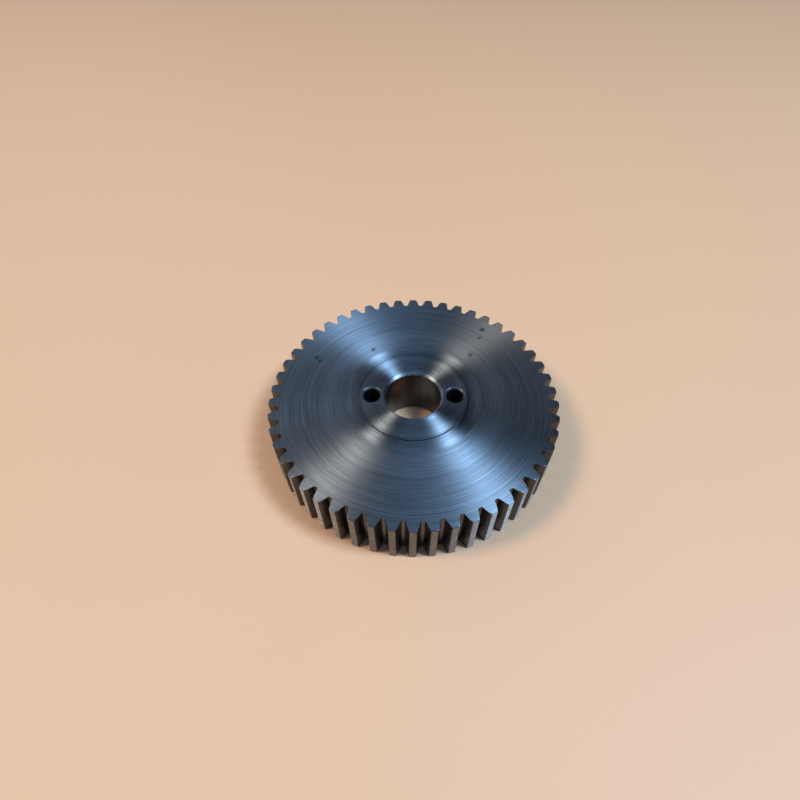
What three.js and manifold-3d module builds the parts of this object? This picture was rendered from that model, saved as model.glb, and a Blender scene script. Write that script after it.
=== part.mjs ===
// A one-piece machined steel spur gear: 50 involute teeth, a plain disc web, a low raised hub face,
// a through bore and two pin holes. Millimetres, +Z up. The origin is the centre of the bottom face,
// on the bore's axis. A tooth is centred on each end of the Y axis and the pin holes lie on the X axis.
import * as THREE from "three";
import { mergeVertices } from "three/addons/utils/BufferGeometryUtils.js";
import Module from "manifold-3d";

const wasm = await Module();
wasm.setup();

// Toothing
const TEETH = 50;
const MODULE = 1;
const PRESSURE_ANGLE = THREE.MathUtils.degToRad(20);
const TIP_DIAMETER = MODULE * (TEETH + 2);
const CUTTER_OFFSET = 0.4; // the cutter stops this far short of full depth, which leaves thick teeth
const CUTTER_ADDENDUM = 1.25 * MODULE;
const ROOT_FILLET_RADIUS = 0.25;
const FACE_WIDTH = 10;
const RIM_CHAMFER = 0.15;

// Hub and holes
const HUB_DIAMETER = 19.6;
const HUB_HEIGHT = 0.3; // above the web, on the top side only
const BORE_DIAMETER = 10;
const BORE_CHAMFER = 0.4;
const PIN_HOLE_DIAMETER = 3;
const PIN_HOLE_CHAMFER = 0.3;
const PIN_CIRCLE_DIAMETER = 15;
const PIN_HOLE_COUNT = 2;

// Faceting
const FLANK_STEPS = 3;
const FILLET_STEPS = 2;
const RIM_SEGMENTS = 4 * TEETH;
const HUB_SEGMENTS = 96;
const BORE_SEGMENTS = 64;
const PIN_HOLE_SEGMENTS = 28;
const CUT_OVERSHOOT = 1; // how far a cutting solid runs past the face that it opens

const STEEL = new THREE.MeshStandardMaterial({ color: 0x6f767d, roughness: 0.35, metalness: 1 });

const referenceRadius = (MODULE * TEETH) / 2;
const baseRadius = referenceRadius * Math.cos(PRESSURE_ANGLE);
const tipRadius = TIP_DIAMETER / 2;
const rootRadius = referenceRadius - CUTTER_ADDENDUM + CUTTER_OFFSET;
const pitchAngle = (2 * Math.PI) / TEETH;
const topOfHub = FACE_WIDTH + HUB_HEIGHT;

// The angle between an involute's start on the base circle and its point at the given pressure angle.
function involute(angle) {
  return Math.tan(angle) - angle;
}

// Half the angle that one tooth fills at a radius, from the thickness at the reference circle.
function halfToothAngle(radius) {
  const thickness = MODULE * (Math.PI / 2) + 2 * CUTTER_OFFSET * Math.tan(PRESSURE_ANGLE);
  const atRadius = Math.acos(baseRadius / radius);
  return thickness / (2 * referenceRadius) + involute(PRESSURE_ANGLE) - involute(atRadius);
}

function polar(radius, angle) {
  return new THREE.Vector2(radius * Math.cos(angle), radius * Math.sin(angle));
}

// One side of a tooth centred on the X axis, from the middle of the gap below it to the middle of its tip.
function toothSide() {
  const points = [polar(rootRadius, -pitchAngle / 2)];
  const flankFoot = rootRadius + ROOT_FILLET_RADIUS;
  const footAngle = halfToothAngle(flankFoot);
  const filletTurn = ROOT_FILLET_RADIUS / rootRadius;
  for (let i = 0; i < FILLET_STEPS; i++) {
    const turn = ((i / FILLET_STEPS) * Math.PI) / 2;
    const radius = flankFoot - ROOT_FILLET_RADIUS * Math.cos(turn);
    points.push(polar(radius, -(footAngle + filletTurn * (1 - Math.sin(turn)))));
  }
  for (let i = 0; i <= FLANK_STEPS; i++) {
    const radius = THREE.MathUtils.lerp(flankFoot, tipRadius, i / FLANK_STEPS);
    points.push(polar(radius, -halfToothAngle(radius)));
  }
  points.push(polar(tipRadius, 0));
  return points;
}

function gearOutline() {
  const oneSide = toothSide();
  const otherSide = oneSide
    .slice(1, -1)
    .reverse()
    .map((p) => new THREE.Vector2(p.x, -p.y));
  const tooth = [...oneSide, ...otherSide];
  const origin = new THREE.Vector2();
  const outline = [];
  for (let i = 0; i < TEETH; i++) {
    const angle = Math.PI / 2 + i * pitchAngle;
    outline.push(...tooth.map((p) => p.clone().rotateAround(origin, angle)));
  }
  return new THREE.Shape(outline);
}

// A solid of revolution about Z, from [radius, height] pairs that run up from the axis and back to it.
function turned(profile, segments) {
  const points = profile.map(([radius, height]) => new THREE.Vector2(radius, height));
  return new THREE.LatheGeometry(points, segments).rotateX(Math.PI / 2);
}

// The blank's outer form: 45 degree chamfers on both rims, and clear of the tooth tips between them.
function chamferedRim() {
  const clear = tipRadius + RIM_CHAMFER;
  const edge = tipRadius - RIM_CHAMFER;
  const profile = [
    [0, 0],
    [edge, 0],
    [clear, 2 * RIM_CHAMFER],
    [clear, FACE_WIDTH - 2 * RIM_CHAMFER],
    [edge, FACE_WIDTH],
    [0, FACE_WIDTH],
  ];
  return turned(profile, RIM_SEGMENTS);
}

function hubDisc() {
  const radius = HUB_DIAMETER / 2;
  const profile = [
    [0, FACE_WIDTH / 2],
    [radius, FACE_WIDTH / 2],
    [radius, topOfHub],
    [0, topOfHub],
  ];
  return turned(profile, HUB_SEGMENTS);
}

// A cutter for a through hole with a 45 degree chamfer at each mouth.
function chamferedHole(diameter, chamfer, segments) {
  const radius = diameter / 2;
  const wide = radius + chamfer + CUT_OVERSHOOT;
  const profile = [
    [0, -CUT_OVERSHOOT],
    [wide, -CUT_OVERSHOOT],
    [radius, chamfer],
    [radius, topOfHub - chamfer],
    [wide, topOfHub + CUT_OVERSHOOT],
    [0, topOfHub + CUT_OVERSHOOT],
  ];
  return turned(profile, segments);
}

function pinHole(index) {
  const angle = (index * 2 * Math.PI) / PIN_HOLE_COUNT;
  const centre = polar(PIN_CIRCLE_DIAMETER / 2, angle);
  const hole = chamferedHole(PIN_HOLE_DIAMETER, PIN_HOLE_CHAMFER, PIN_HOLE_SEGMENTS);
  return hole.translate(centre.x, centre.y, 0);
}

function toSolid(geometry) {
  const bare = geometry.clone();
  bare.deleteAttribute("normal");
  bare.deleteAttribute("uv");
  const merged = mergeVertices(bare, 1e-4);
  const vertProperties = merged.attributes.position.array;
  const triVerts = new Uint32Array(merged.index.array);
  return new wasm.Manifold(new wasm.Mesh({ numProp: 3, vertProperties, triVerts }));
}

function toGeometry(solid) {
  const mesh = solid.getMesh();
  const geometry = new THREE.BufferGeometry();
  geometry.setAttribute("position", new THREE.BufferAttribute(mesh.vertProperties, 3));
  geometry.setIndex(new THREE.BufferAttribute(mesh.triVerts, 1));
  geometry.computeVertexNormals();
  return geometry;
}

function spurGear() {
  const teeth = new THREE.ExtrudeGeometry(gearOutline(), { depth: FACE_WIDTH, bevelEnabled: false });
  let solid = toSolid(teeth).intersect(toSolid(chamferedRim()));
  solid = solid.add(toSolid(hubDisc()));
  solid = solid.subtract(toSolid(chamferedHole(BORE_DIAMETER, BORE_CHAMFER, BORE_SEGMENTS)));
  for (let i = 0; i < PIN_HOLE_COUNT; i++) {
    solid = solid.subtract(toSolid(pinHole(i)));
  }
  const mesh = new THREE.Mesh(toGeometry(solid), STEEL);
  mesh.name = "spur_gear";
  return mesh;
}

const gear = new THREE.Group();
gear.add(spurGear());

export default gear;
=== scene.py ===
"""The looks of a machined steel spur gear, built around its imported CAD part.

The gear's own lengths are in millimetres until its mesh is made, and the stage and lamps are in metres.
The gear lies on its plain face, its axis is Z, and the pin holes lie on the X axis.
"""

import math

import bmesh
import bpy
import numpy as np
from mathutils import Matrix, Vector
from mathutils.geometry import delaunay_2d_cdt

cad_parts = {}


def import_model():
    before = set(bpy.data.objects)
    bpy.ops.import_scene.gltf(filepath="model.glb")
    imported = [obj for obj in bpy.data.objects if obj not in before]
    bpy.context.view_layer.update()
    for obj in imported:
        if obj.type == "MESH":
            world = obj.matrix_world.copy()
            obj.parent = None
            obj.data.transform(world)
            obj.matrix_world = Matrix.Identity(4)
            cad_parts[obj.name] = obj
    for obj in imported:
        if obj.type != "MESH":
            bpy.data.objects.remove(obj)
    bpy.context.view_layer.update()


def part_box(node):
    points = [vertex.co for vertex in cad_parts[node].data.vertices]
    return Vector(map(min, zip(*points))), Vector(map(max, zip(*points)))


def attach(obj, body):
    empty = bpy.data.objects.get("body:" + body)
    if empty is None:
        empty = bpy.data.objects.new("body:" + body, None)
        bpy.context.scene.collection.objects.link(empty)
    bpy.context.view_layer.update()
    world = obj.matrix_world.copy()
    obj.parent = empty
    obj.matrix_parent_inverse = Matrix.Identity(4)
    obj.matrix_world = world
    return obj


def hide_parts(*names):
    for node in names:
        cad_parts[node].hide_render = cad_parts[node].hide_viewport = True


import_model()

MM = 0.001
NODE = "spur_gear"
BODY = "root"

# The part's own dimensions. Its outer sizes come from the imported part's box.
low_corner, high_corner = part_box(NODE)
TIP_RADIUS = high_corner.y / MM
HUB_TOP = high_corner.z / MM
HUB_HEIGHT = 0.3
WEB_TOP = HUB_TOP - HUB_HEIGHT
HUB_RADIUS = 9.8
BORE_RADIUS = 5.0
BORE_CHAMFER = 0.4
PIN_HOLE_RADIUS = 1.5
PIN_HOLE_CHAMFER = 0.3
PIN_CENTRES = ((7.5, 0.0), (-7.5, 0.0))
RIM_CHAMFER = 0.15

# Toothing
TEETH = 50
MODULE = 1.0
PRESSURE_ANGLE = math.radians(20)
CUTTER_OFFSET = 0.4
CUTTER_ADDENDUM = 1.25
ROOT_FILLET = 0.25
TIP_ROUNDING = 0.08
REFERENCE_RADIUS = MODULE * TEETH / 2
BASE_RADIUS = REFERENCE_RADIUS * math.cos(PRESSURE_ANGLE)
ROOT_RADIUS = REFERENCE_RADIUS - CUTTER_ADDENDUM + CUTTER_OFFSET
PITCH_ANGLE = 2 * math.pi / TEETH

# Small roundings that catch the light
EDGE_BREAK = 0.012
HUB_EDGE_ROUNDING = 0.03
HUB_FOOT_FILLET = 0.06
HUB_FOOT_RISE = 0.06  # the web slopes up by this much to the foot of the hub
HUB_FOOT_WIDTH = 1.0
RIDGE_ROUNDING = 0.03
BORE_ROUNDING = 0.05
PIN_ROUNDING = 0.04

# How finely the mesh is cut
WEB_COLUMNS = 8 * TEETH
HUB_COLUMNS = 4 * TEETH
PIN_COLUMNS = 64
TOP_RING_STEP = 0.16
BOTTOM_RING_STEP = 0.3
RING_CLEARANCE = 0.15  # the hub's rings stop this far from a pin hole's lip
EDGE_CLEARANCE = 0.03  # the rings among the teeth stop this far from the toothed edge
TOOTH_ZONE_RADIUS = 23.9
BRIGHT_RADIUS = 12.4  # the cutter left the face more finely grooved inside this radius

# The finishes, by their place in the list of materials. The hub's step, the bore's wall and the pin
# holes' walls carry painted shade.
WEB, HUB, STEP, LAND, FLANK, TOOTH_EDGE, BORE, BORE_EDGE, PIN, PIN_EDGE = range(10)


def involute(angle):
    return math.tan(angle) - angle


def half_tooth_angle(radius):
    """Half the angle that one tooth fills at a radius."""
    thickness = MODULE * math.pi / 2 + 2 * CUTTER_OFFSET * math.tan(PRESSURE_ANGLE)
    at_radius = math.acos(BASE_RADIUS / radius)
    at_reference = thickness / (2 * REFERENCE_RADIUS)
    return at_reference + involute(PRESSURE_ANGLE) - involute(at_radius)


def tooth_side():
    """(radius, angle) pairs from the middle of a gap up one flank to the middle of the tip."""
    foot = ROOT_RADIUS + ROOT_FILLET
    foot_angle = half_tooth_angle(foot)
    fillet_angle = ROOT_FILLET / ROOT_RADIUS
    points = []
    for share in np.linspace(0, 1, 3)[:-1]:
        start, end = PITCH_ANGLE / 2, foot_angle + fillet_angle
        points.append((ROOT_RADIUS, start + share * (end - start)))
    for turn in np.linspace(0, math.pi / 2, 5)[:-1]:
        radius = foot - ROOT_FILLET * math.cos(turn)
        points.append((radius, foot_angle + fillet_angle * (1 - math.sin(turn))))
    shoulder = TIP_RADIUS - TIP_ROUNDING
    for radius in np.linspace(foot, shoulder, 8):
        points.append((radius, half_tooth_angle(radius)))
    corner_angle = TIP_ROUNDING / TIP_RADIUS
    shoulder_angle = half_tooth_angle(shoulder)
    for turn in np.linspace(0, math.pi / 2, 4)[1:]:
        radius = shoulder + TIP_ROUNDING * math.sin(turn)
        points.append((radius, shoulder_angle - corner_angle * (1 - math.cos(turn))))
    points.append((TIP_RADIUS, (shoulder_angle - corner_angle) / 2))
    points.append((TIP_RADIUS, 0.0))
    return points


def gear_outline():
    """The outline's points, counter-clockwise, as an array of x and y."""
    side = tooth_side()
    tooth = [(radius, -angle) for radius, angle in side]
    tooth += [(radius, angle) for radius, angle in reversed(side[1:-1])]
    outline = []
    for i in range(TEETH):
        centre = math.pi / 2 + i * PITCH_ANGLE
        for radius, angle in tooth:
            outline.append((radius * math.cos(centre + angle), radius * math.sin(centre + angle)))
    return np.array(outline)


def inset(outline, distance):
    """The closed outline moved inwards by a distance along its own normals."""
    along = np.roll(outline, -1, axis=0) - np.roll(outline, 1, axis=0)
    along /= np.linalg.norm(along, axis=1, keepdims=True)
    inwards = np.stack([-along[:, 1], along[:, 0]], axis=1)
    return outline + distance * inwards


def inside(points, polygon):
    """Which points lie inside a closed polygon, by counting crossings."""
    x, y = points[:, :1], points[:, 1:]
    x0, y0 = polygon[:, 0], polygon[:, 1]
    x1, y1 = np.roll(x0, -1), np.roll(y0, -1)
    spans = (y0 > y) != (y1 > y)
    with np.errstate(divide="ignore", invalid="ignore"):
        crossing = x0 + (y - y0) * (x1 - x0) / (y1 - y0)
    return (spans & (x < crossing)).sum(axis=1) % 2 == 1


def circle(radius, columns, centre=(0.0, 0.0), start=math.pi / 2):
    angles = start + np.arange(columns) * 2 * math.pi / columns
    return np.stack([centre[0] + radius * np.cos(angles), centre[1] + radius * np.sin(angles)], axis=1)


# Turned faces: the cutter leaves shallow waves whose height depends on the radius alone.

UNDERSIDE_LIFT = 0.006  # keeps the troughs of the waves on the underside off the floor

def turned_waves(seed):
    """A function of the radius that gives the height of the cutter's marks."""
    draw = np.random.RandomState(seed)
    waves = []
    for pitch, height in ((0.86, 0.0016), (1.37, 0.0015), (0.55, 0.0007), (2.3, 0.0012)):
        waves.append((2 * math.pi / pitch, height, draw.uniform(0, 2 * math.pi)))

    def height_at(radius):
        return sum(size * np.sin(rate * radius + shift) for rate, size, shift in waves)

    return height_at


def hub_profile(radius):
    """How far the face stands above the web: the rounded hub, and a slight rise round its foot."""
    edge = HUB_RADIUS - HUB_EDGE_ROUNDING
    over_edge = np.clip(radius - edge, 0, HUB_EDGE_ROUNDING)
    shoulder = HUB_HEIGHT - HUB_EDGE_ROUNDING + np.sqrt(HUB_EDGE_ROUNDING**2 - over_edge**2)
    before_foot = np.clip(HUB_RADIUS + HUB_FOOT_FILLET - radius, 0, HUB_FOOT_FILLET)
    cove = HUB_FOOT_FILLET - np.sqrt(HUB_FOOT_FILLET**2 - before_foot**2)
    rise = HUB_FOOT_RISE * np.clip(1 - (radius - HUB_RADIUS) / HUB_FOOT_WIDTH, 0, 1) ** 2
    return np.where(radius < HUB_RADIUS, shoulder, cove + rise)


def rim_drop(radius):
    """How far the turned chamfer at the rim drops at a radius, with a softened ridge."""
    past = radius - (TIP_RADIUS - RIM_CHAMFER)
    soft = RIDGE_ROUNDING
    blended = (np.clip(past, -soft, soft) + soft) ** 2 / (4 * soft)
    return np.where(past > soft, past, blended)


top_waves = turned_waves(7)
bottom_waves = turned_waves(23)


def top_height(xy):
    radius = np.linalg.norm(xy, axis=1)
    return WEB_TOP + hub_profile(radius) + top_waves(radius) - rim_drop(radius)


def bottom_height(xy):
    radius = np.linalg.norm(xy, axis=1)
    return rim_drop(radius) + UNDERSIDE_LIFT + bottom_waves(radius)


class Skin:
    """The vertices, faces and finishes of one closed surface, gathered loop by loop."""

    def __init__(self):
        self.points = []
        self.faces = []
        self.finishes = []

    def loop(self, xy, heights):
        """Adds points and returns their numbers."""
        start = len(self.points)
        heights = np.broadcast_to(heights, (len(xy),))
        self.points.extend((x, y, z) for (x, y), z in zip(xy, heights))
        return np.arange(start, len(self.points))

    def bridge(self, first, second, finish):
        """Joins two loops of as many points. The finish is one, or a list with one for each face."""
        count = len(first)
        for i in range(count):
            j = (i + 1) % count
            self.faces.append((first[i], first[j], second[j], second[i]))
        self.finishes.extend(finish if isinstance(finish, list) else [finish] * count)

    def fill(self, loops, loose, keep, finish):
        """Fills the flat region between closed loops with triangles, through the loose points too."""
        numbers = np.concatenate([*loops, *loose])
        edges = []
        start = 0
        for loop in loops:
            count = len(loop)
            edges += [(start + i, start + (i + 1) % count) for i in range(count)]
            start += count
        flat = [Vector(self.points[n][:2]) for n in numbers]
        made = delaunay_2d_cdt(flat, edges, [], 0, 1e-7)
        corners = [numbers[source[0]] if source else None for source in made[3]]
        xy = np.array([p[:2] for p in self.points])
        triangles = np.array([[corners[v] for v in face] for face in made[2]])
        kept = triangles[keep(xy[triangles].mean(axis=1))]
        self.faces.extend(map(tuple, kept))
        self.finishes.extend([finish] * len(kept))


def tooth_zone(skin, inner, outline, finish, height):
    """Fills one face from the web's last ring out to the toothed edge, and returns that edge's loop."""
    rounded = inset(outline, EDGE_BREAK)
    edge = skin.loop(rounded, height(rounded))
    margin = inset(outline, EDGE_BREAK + EDGE_CLEARANCE)
    loose = []
    ridge = TIP_RADIUS - RIM_CHAMFER
    radii = [24.15, 24.45, 24.75, 25.05, 25.35, ridge - RIDGE_ROUNDING, ridge, ridge + RIDGE_ROUNDING]
    for radius in radii:
        ring = circle(radius, 24 * TEETH)
        ring = ring[inside(ring, margin)]
        loose.append(skin.loop(ring, height(ring)))
    skin.fill(
        [inner, edge],
        loose,
        lambda xy: (np.linalg.norm(xy, axis=1) > TOOTH_ZONE_RADIUS) & inside(xy, rounded),
        finish,
    )
    return edge


def rings(skin, first, radii, columns, finish, height):
    """Carries a loop outwards over a list of radii, and returns the last loop."""
    for radius in radii:
        xy = circle(radius, columns)
        ring = skin.loop(xy, height(xy))
        skin.bridge(first, ring, finish)
        first = ring
    return first


def hub_zone(skin, step, finish, height):
    """Fills one face from the bore's lip to the hub's edge, round the pin holes.

    Returns the loops at the bore, at the hub's edge and at each pin hole.
    """
    lip = BORE_RADIUS + BORE_CHAMFER + BORE_ROUNDING
    reach = HUB_RADIUS - HUB_EDGE_ROUNDING
    mouth = PIN_HOLE_RADIUS + PIN_HOLE_CHAMFER + PIN_ROUNDING
    xy = circle(lip, HUB_COLUMNS)
    bore_edge = skin.loop(xy, height(xy))
    xy = circle(reach, WEB_COLUMNS)
    hub_edge = skin.loop(xy, height(xy))
    pin_edges = []
    loose = []
    for centre in PIN_CENTRES:
        xy = circle(mouth, PIN_COLUMNS, centre)
        pin_edges.append(skin.loop(xy, height(xy)))
        for extra in (0.04, 0.1):
            xy = circle(mouth + extra, PIN_COLUMNS, centre)
            loose.append(skin.loop(xy, height(xy)))
    count = round((reach - lip) / step)
    for radius in np.linspace(lip, reach, count + 1)[1:-1]:
        xy = circle(radius, HUB_COLUMNS)
        away = mouth + RING_CLEARANCE
        clear = [np.linalg.norm(xy - np.array(c), axis=1) > away for c in PIN_CENTRES]
        xy = xy[clear[0] & clear[1]]
        loose.append(skin.loop(xy, height(xy)))

    def keep(xy):
        away = [np.linalg.norm(xy - np.array(c), axis=1) > mouth * 0.999 for c in PIN_CENTRES]
        radius = np.linalg.norm(xy, axis=1)
        return away[0] & away[1] & (radius > lip * 0.9999) & (radius < reach)

    skin.fill([bore_edge, hub_edge, *pin_edges], loose, keep, finish)
    return bore_edge, hub_edge, pin_edges


def chamfer_steps(size, rounding):
    """(outwards, downwards) steps from a rounded lip down a 45 degree chamfer into a hole."""
    steps = []
    for share in np.linspace(0, 1, 5)[1:]:
        across = 2 * rounding * share
        steps.append((size + rounding - across, across**2 / (4 * rounding)))
    for share in np.linspace(0, 1, 5):
        across = rounding * (1 - share) ** 2
        steps.append((across, size - rounding + 2 * rounding * share))
    return steps


def hole(skin, edges, centre, radius, steps, columns, edge_finish, finish):
    """Lines a through hole from its lip on the top face to its lip on the bottom face."""
    top_edge, bottom_edge = edges
    last = top_edge
    for out, down in steps:
        ring = skin.loop(circle(radius + out, columns, centre), HUB_TOP - down)
        skin.bridge(ring, last, edge_finish)
        last = ring
    finishes = [finish] + [edge_finish] * (len(steps) - 1)
    for (out, down), kind in zip(reversed(steps), finishes):
        ring = skin.loop(circle(radius + out, columns, centre), down)
        skin.bridge(ring, last, kind)
        last = ring
    skin.bridge(bottom_edge, last, edge_finish)


def toothed_wall(skin, outline, top_edge, bottom_edge):
    """Rounds the toothed edge over and runs it down the teeth."""
    radius = np.linalg.norm(outline, axis=1)
    drop = rim_drop(radius)
    loops = []
    for turn in (45, 90):
        angle = math.radians(turn)
        xy = inset(outline, EDGE_BREAK * (1 - math.sin(angle)))
        loops.append((xy, drop + EDGE_BREAK * (1 - math.cos(angle))))
    last = top_edge
    for xy, down in loops:
        ring = skin.loop(xy, WEB_TOP - down)
        skin.bridge(ring, last, TOOTH_EDGE)
        last = ring
    xy, down = loops[-1]
    on_land = np.minimum(radius, np.roll(radius, -1)) > TIP_RADIUS - 0.01
    finishes = [LAND if land else FLANK for land in on_land]
    for share in (0.25, 0.5, 0.75, 1.0):
        heights = (WEB_TOP - down) * (1 - share) + down * share
        ring = skin.loop(xy, heights)
        skin.bridge(ring, last, finishes)
        last = ring
    xy, down = loops[0]
    ring = skin.loop(xy, down)
    skin.bridge(ring, last, FLANK)
    skin.bridge(bottom_edge, ring, TOOTH_EDGE)


def gear_skin():
    skin = Skin()
    outline = gear_outline()
    top_bore, top_hub, top_pins = hub_zone(skin, TOP_RING_STEP, HUB, top_height)
    bottom_bore, bottom_hub, bottom_pins = hub_zone(skin, BOTTOM_RING_STEP, WEB, bottom_height)
    edge = HUB_RADIUS - HUB_EDGE_ROUNDING
    foot = HUB_RADIUS + HUB_FOOT_FILLET
    hub_step = list(edge + HUB_EDGE_ROUNDING * np.sin(np.radians([30, 60, 85])))
    hub_step += list(foot - HUB_FOOT_FILLET * np.sin(np.radians([75, 50, 30, 15, 0])))
    count = round((TOOTH_ZONE_RADIUS - foot) / TOP_RING_STEP)
    web = np.linspace(foot, TOOTH_ZONE_RADIUS, count + 1)[1:]
    # The hub's rounded edge, its step and its foot take the step finish, whose near black is painted
    # shade.
    top_foot = rings(skin, top_hub, hub_step, WEB_COLUMNS, STEP, top_height)
    top_inner = rings(skin, top_foot, web[web < BRIGHT_RADIUS], WEB_COLUMNS, HUB, top_height)
    top_web = rings(skin, top_inner, web[web >= BRIGHT_RADIUS], WEB_COLUMNS, WEB, top_height)
    count = round((TOOTH_ZONE_RADIUS - edge) / BOTTOM_RING_STEP)
    web = list(np.linspace(edge, TOOTH_ZONE_RADIUS, count + 1)[1:])
    bottom_web = rings(skin, bottom_hub, web, WEB_COLUMNS, WEB, bottom_height)
    top_edge = tooth_zone(skin, top_web, outline, WEB, top_height)
    bottom_edge = tooth_zone(skin, bottom_web, outline, WEB, bottom_height)
    toothed_wall(skin, outline, top_edge, bottom_edge)
    steps = chamfer_steps(BORE_CHAMFER, BORE_ROUNDING)
    hole(skin, (top_bore, bottom_bore), (0.0, 0.0), BORE_RADIUS, steps, HUB_COLUMNS, BORE_EDGE, BORE)
    steps = chamfer_steps(PIN_HOLE_CHAMFER, PIN_ROUNDING)
    for centre, *edges in zip(PIN_CENTRES, top_pins, bottom_pins):
        hole(skin, edges, centre, PIN_HOLE_RADIUS, steps, PIN_COLUMNS, PIN_EDGE, PIN)
    return skin


def gear_object(materials):
    skin = gear_skin()
    mesh = bpy.data.meshes.new("machined_gear")
    points = [tuple(c * MM for c in point) for point in skin.points]
    faces = [tuple(map(int, face)) for face in skin.faces]
    mesh.from_pydata(points, [], faces)
    for material in materials:
        mesh.materials.append(material)
    mesh.polygons.foreach_set("material_index", skin.finishes)
    shell = bmesh.new()
    shell.from_mesh(mesh)
    bmesh.ops.recalc_face_normals(shell, faces=shell.faces)
    for edge in shell.edges:
        edge.smooth = len({face.material_index for face in edge.link_faces}) == 1
    shell.to_mesh(mesh)
    shell.free()
    mesh.shade_smooth()
    gear = bpy.data.objects.new("machined_gear", mesh)
    bpy.context.scene.collection.objects.link(gear)
    crisp = gear.modifiers.new("crisp_edges", "WEIGHTED_NORMAL")
    crisp.mode = "FACE_AREA"
    crisp.weight = 60
    crisp.keep_sharp = True
    return gear


# Materials


class Recipe:
    """A node material built from a Principled shader."""

    def __init__(self, name, metallic=1.0):
        self.material = bpy.data.materials.new(name)
        self.material.use_nodes = True
        self.tree = self.material.node_tree
        self.shader = self.tree.nodes["Principled BSDF"]
        self.shader.inputs["Metallic"].default_value = metallic

    def node(self, kind, **settings):
        made = self.tree.nodes.new(kind)
        for name, value in settings.items():
            setattr(made, name, value)
        return made

    def feed(self, socket, value):
        if isinstance(value, (int, float, tuple)):
            socket.default_value = value
        else:
            self.tree.links.new(value, socket)

    def math(self, operation, *values):
        made = self.node("ShaderNodeMath", operation=operation)
        for socket, value in zip(made.inputs, values):
            self.feed(socket, value)
        return made.outputs[0]

    def place(self):
        """The place on the piece, as x, y and z in millimetres."""
        parts = self.node("ShaderNodeSeparateXYZ")
        self.feed(parts.inputs[0], self.node("ShaderNodeTexCoord").outputs["Object"])
        return [self.math("MULTIPLY", part, 1 / MM) for part in parts.outputs]

    def vector(self, x, y, z):
        made = self.node("ShaderNodeCombineXYZ")
        for socket, value in zip(made.inputs, (x, y, z)):
            self.feed(socket, value)
        return made.outputs[0]

    def radius(self, x, y):
        squares = self.math("ADD", self.math("POWER", x, 2.0), self.math("POWER", y, 2.0))
        return self.math("SQRT", squares)

    def wrapped(self, x, y, radius, around, depth):
        """A place that runs round the axis without a seam: the direction, stretched, and a depth."""
        across = self.math("MULTIPLY", self.math("DIVIDE", x, radius), around)
        along = self.math("MULTIPLY", self.math("DIVIDE", y, radius), around)
        return self.vector(across, along, depth)

    def noise(self, place, scale, detail=2.0, roughness=0.5):
        """Noise from about 0.25 to 0.75, along a number or through a vector."""
        flat = place.type == "VALUE"
        made = self.node("ShaderNodeTexNoise", noise_dimensions="1D" if flat else "3D")
        self.feed(made.inputs["W" if flat else "Vector"], place)
        self.feed(made.inputs["Scale"], scale)
        self.feed(made.inputs["Detail"], detail)
        self.feed(made.inputs["Roughness"], roughness)
        return made.outputs["Fac"]

    def ranged(self, value, low, high, to_low, to_high):
        made = self.node("ShaderNodeMapRange")
        for socket, number in zip(made.inputs, (value, low, high, to_low, to_high)):
            self.feed(socket, number)
        return made.outputs[0]

    def mixed(self, share, dark, bright):
        made = self.node("ShaderNodeMix", data_type="RGBA")
        self.feed(made.inputs[0], share)
        self.feed(made.inputs[6], (*dark, 1.0))
        self.feed(made.inputs[7], (*bright, 1.0))
        return made.outputs[2]

    def turned_about_axis(self, anisotropy):
        """Lets the cutter's marks run round the gear's axis."""
        self.shader.inputs["Anisotropic"].default_value = anisotropy
        self.shader.inputs["Anisotropic Rotation"].default_value = 0.25
        tangent = self.node("ShaderNodeTangent", direction_type="RADIAL", axis="Z")
        self.feed(self.shader.inputs["Tangent"], tangent.outputs[0])

    def bumped(self, height, distance_mm):
        made = self.node("ShaderNodeBump")
        made.inputs["Distance"].default_value = distance_mm * MM
        self.feed(made.inputs["Height"], height)
        self.feed(self.shader.inputs["Normal"], made.outputs[0])


# Radius, and how brightly the cutter left the face there, from 0 to 1; the low stops at 9.9 and 10.4
# are painted shade round the foot of the hub, not the cutter's.
BANDS_AND_PAINTED_SHADE = (
    # The stops at 9.9 and 10.4 paint a dark ring of shade round the foot of the hub.
    (5.6, 0.26), (7.4, 0.18), (9.0, 0.38), (9.9, 0.14), (10.4, 0.14),
    (11.4, 0.46), (12.5, 0.30), (15.6, 0.40), (17.4, 0.28), (26.0, 0.28),
)

STAIN_WOBBLE = 0.8  # how far a stain's outline is pulled about
# Stains on the top face: radius, angle left of the far side in degrees, and size.
STAINS = (
    (21.9, -39.0, 0.75), (19.7, -41.5, 0.50), (15.0, -47.0, 0.60),
    (13.8, 34.0, 0.65), (20.7, 63.5, 0.58), (19.7, 64.5, 0.52),
)


def stains(recipe, place):
    """1 in a stain and 0 outside, with uneven outlines."""
    uneven = recipe.node("ShaderNodeVectorMath", operation="MULTIPLY_ADD")
    wobble = recipe.node("ShaderNodeTexNoise")
    recipe.feed(wobble.inputs["Vector"], place)
    recipe.feed(wobble.inputs["Scale"], 2.5)
    recipe.feed(uneven.inputs[0], wobble.outputs["Color"])
    uneven.inputs[1].default_value = (STAIN_WOBBLE, STAIN_WOBBLE, 0.0)
    recipe.feed(uneven.inputs[2], place)
    deepest = 0.0
    for radius, angle, size in STAINS:
        turn = math.radians(90 + angle)
        distance = recipe.node("ShaderNodeVectorMath", operation="DISTANCE")
        recipe.feed(distance.inputs[0], uneven.outputs[0])
        pull = STAIN_WOBBLE / 2
        centre = (radius * math.cos(turn) + pull, radius * math.sin(turn) + pull, WEB_TOP)
        distance.inputs[1].default_value = centre
        stain = recipe.ranged(distance.outputs["Value"], 0.3 * size, size, 1.0, 0.0)
        deepest = recipe.math("MAXIMUM", deepest, stain)
    return deepest


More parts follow.
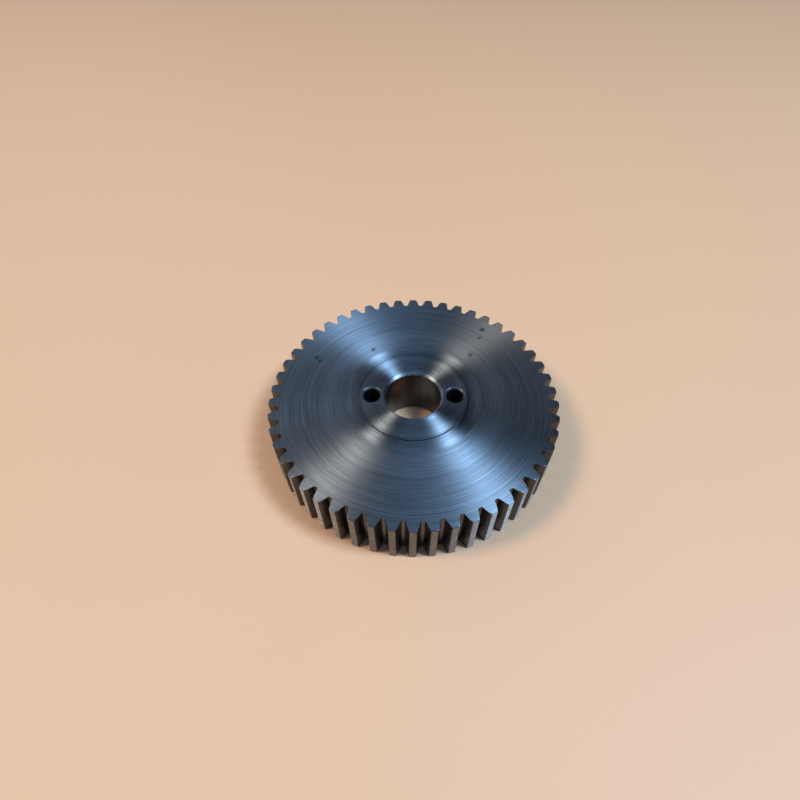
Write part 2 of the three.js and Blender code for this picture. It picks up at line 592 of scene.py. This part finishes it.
def band_and_shade_tone(recipe, radius):
    """The brightness of the bands at a radius, with the painted shade round the hub's foot."""
    ramp = recipe.node("ShaderNodeValToRGB")
    stops = ramp.color_ramp.elements
    while len(stops) < len(BANDS_AND_PAINTED_SHADE):
        stops.new(0.5)
    for stop, (at, tone) in zip(stops, BANDS_AND_PAINTED_SHADE):
        stop.position = at / TIP_RADIUS
        stop.color = (tone, tone, tone, 1.0)
    recipe.feed(ramp.inputs[0], recipe.math("DIVIDE", radius, TIP_RADIUS))
    return ramp.outputs[0]


def turned_face(name, roughness, anisotropy):
    """Faced steel: fine rings, duller and brighter bands, a ring of painted shade round the hub's foot,
    broken streaks and a few stains.
    """
    recipe = Recipe(name)
    x, y, z = recipe.place()
    place = recipe.vector(x, y, z)
    radius = recipe.radius(x, y)
    along_streaks = recipe.wrapped(x, y, radius, 2.2, recipe.math("MULTIPLY", radius, 4.5))
    streaks = recipe.noise(along_streaks, 1.0, 4.0, 0.65)
    rings_wide = recipe.noise(radius, 1.3, 2.0, 0.5)
    rings_fine = recipe.noise(radius, 3.5, 2.0, 0.6)
    clouds = recipe.noise(place, 0.13, 3.0, 0.55)
    # The bands' tone includes painted shade round the hub's foot.
    tone = band_and_shade_tone(recipe, radius)
    for texture, reach in ((streaks, 0.20), (rings_wide, 0.05), (rings_fine, 0.04), (clouds, 0.05)):
        tone = recipe.math("ADD", tone, recipe.ranged(texture, 0.3, 0.7, -reach, reach))
    colour = recipe.node("ShaderNodeMix", data_type="RGBA")
    recipe.feed(colour.inputs[0], recipe.math("MULTIPLY", stains(recipe, place), 0.85))
    recipe.feed(colour.inputs[6], recipe.mixed(tone, (0.113, 0.12, 0.129), (0.43, 0.46, 0.495)))
    recipe.feed(colour.inputs[7], (0.035, 0.028, 0.022, 1.0))
    recipe.feed(recipe.shader.inputs["Base Color"], colour.outputs[2])
    rough = recipe.ranged(streaks, 0.3, 0.7, roughness + 0.03, roughness - 0.03)
    recipe.feed(recipe.shader.inputs["Roughness"], rough)
    recipe.turned_about_axis(anisotropy)
    height = recipe.math("ADD", rings_wide, recipe.math("MULTIPLY", rings_fine, 0.4))
    recipe.bumped(recipe.math("ADD", height, recipe.math("MULTIPLY", streaks, 0.5)), 0.014)
    return recipe.material


def cut_steel(name, colour, roughness, anisotropy=0.0, around=0.0, scale=1.5):
    """Machined steel with an uneven tone.

    Its texture is a mottle, or where around is given, streaks along the axis that narrow as it grows.
    """
    recipe = Recipe(name)
    x, y, z = recipe.place()
    place = recipe.vector(x, y, z)
    if around:
        place = recipe.wrapped(x, y, recipe.radius(x, y), around, recipe.math("MULTIPLY", z, 0.12))
    texture = recipe.noise(place, scale, 3.0)
    share = recipe.ranged(texture, 0.3, 0.7, 0.0, 1.0)
    dark = tuple(0.75 * c for c in colour)
    bright = tuple(1.25 * c for c in colour)
    recipe.feed(recipe.shader.inputs["Base Color"], recipe.mixed(share, dark, bright))
    rough = recipe.ranged(share, 0.0, 1.0, roughness - 0.03, roughness + 0.03)
    recipe.feed(recipe.shader.inputs["Roughness"], rough)
    if anisotropy:
        recipe.turned_about_axis(anisotropy)
    recipe.bumped(texture, 0.003)
    return recipe.material


materials = [
    turned_face("turned_web", 0.46, 0.9),
    turned_face("turned_hub", 0.41, 1.0),
    # The hub's step is painted near black: a painted line of shade round the hub.
    cut_steel("step_wall_painted_shade", (0.05, 0.05, 0.055), 0.50),
    cut_steel("turned_land", (0.31, 0.285, 0.255), 0.46, anisotropy=0.95),
    cut_steel("hobbed_flank", (0.08, 0.076, 0.076), 0.30),
    cut_steel("tooth_edge", (0.08, 0.08, 0.085), 0.55),
    # The bore's wall is painted darker than its steel as painted shade inside the bore; its streaks
    # along the axis are the boring marks.
    cut_steel("bored_wall_painted_shade", (0.125, 0.12, 0.12), 0.30, around=3.0, scale=1.0),
    cut_steel("bore_chamfer", (0.28, 0.295, 0.31), 0.38, anisotropy=0.9),
    # The pin holes' walls are painted near black: painted shade inside the holes.
    cut_steel("drilled_wall_painted_shade", (0.03, 0.03, 0.035), 0.60),
    cut_steel("pin_chamfer", (0.14, 0.145, 0.155), 0.36),
]
gear = gear_object(materials)
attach(gear, BODY)
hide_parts(NODE)


# Stage, light and camera

VIEW_YAW = math.radians(1.44)  # the camera and the lamps are turned this far about the gear's axis
FLOOR_REACH = 1.5
CAMERA_PLACE = (-0.0922, -2.2053, 2.7804)  # from the centre of the web's top, in tip radii
CAMERA_ELEVATION = math.radians(52.03)
CAMERA_ROLL = math.radians(-0.69)


def floor():
    mesh = bpy.data.meshes.new("floor")
    reach = FLOOR_REACH
    corners = [(-reach, -reach, 0), (reach, -reach, 0), (reach, reach, 0), (-reach, reach, 0)]
    mesh.from_pydata(corners, [], [(0, 1, 2, 3)])
    recipe = Recipe("pale_floor", metallic=0.0)
    recipe.shader.inputs["Base Color"].default_value = (0.815, 0.43, 0.225, 1)
    recipe.shader.inputs["Roughness"].default_value = 0.6
    mesh.materials.append(recipe.material)
    made = bpy.data.objects.new("floor", mesh)
    bpy.context.scene.collection.objects.link(made)


def soft_light(name, towards, distance, size, power, colour):
    """A softbox that stands in a direction from the gear and faces it."""
    lamp = bpy.data.lights.new(name, "AREA")
    lamp.shape = "RECTANGLE"
    lamp.size, lamp.size_y = size
    lamp.energy = power
    lamp.color = colour
    made = bpy.data.objects.new(name, lamp)
    bpy.context.scene.collection.objects.link(made)
    direction = Matrix.Rotation(VIEW_YAW, 3, "Z") @ Vector(towards).normalized()
    made.location = direction * distance
    made.rotation_euler = direction.to_track_quat("Z", "Y").to_euler()


def world(colour, strength):
    made = bpy.data.worlds.new("studio")
    made.use_nodes = True
    background = made.node_tree.nodes["Background"]
    background.inputs[0].default_value = (*colour, 1)
    background.inputs[1].default_value = strength
    bpy.context.scene.world = made


def camera():
    """Looks at the gear from close in front and above."""
    lens = bpy.data.cameras.new("camera")
    lens.sensor_width = 36
    lens.lens = 23.0
    lens.clip_start = 0.005
    made = bpy.data.objects.new("camera", lens)
    bpy.context.scene.collection.objects.link(made)
    place = Vector(CAMERA_PLACE) * TIP_RADIUS * MM + Vector((0, 0, WEB_TOP * MM))
    forwards = Vector((0, math.cos(CAMERA_ELEVATION), -math.sin(CAMERA_ELEVATION)))
    right = Vector((1, 0, 0))
    up = right.cross(forwards)
    turned_right = math.cos(CAMERA_ROLL) * right + math.sin(CAMERA_ROLL) * up
    turned_up = -math.sin(CAMERA_ROLL) * right + math.cos(CAMERA_ROLL) * up
    turn = Matrix((turned_right, turned_up, -forwards)).transposed()
    made.matrix_world = Matrix.Rotation(VIEW_YAW, 4, "Z") @ (Matrix.Translation(place) @ turn.to_4x4())
    bpy.context.scene.camera = made


floor()
soft_light("right_lamp", (0.515, -0.14, 0.846), 0.8, (0.19, 0.19), 5.0, (0.62, 1.0, 1.50))
soft_light("left_lamp", (-0.586, -0.075, 0.808), 0.8, (0.19, 0.19), 2.85, (1.05, 1.0, 0.93))
soft_light("overhead", (0.03, 0.12, 0.99), 1.0, (0.7, 0.5), 0.6, (0.62, 1.0, 1.55))
soft_light("ceiling_glow", (0.12, -0.25, 0.96), 0.9, (0.9, 0.5), 0.95, (0.62, 1.0, 1.62))
soft_light("left_glow", (-0.55, 0.60, 0.58), 1.0, (0.8, 0.8), 1.4, (0.80, 1.0, 1.30))
world((0.62, 0.82, 1.20), 0.01)
camera()
bpy.context.scene.view_settings.view_transform = "Standard"
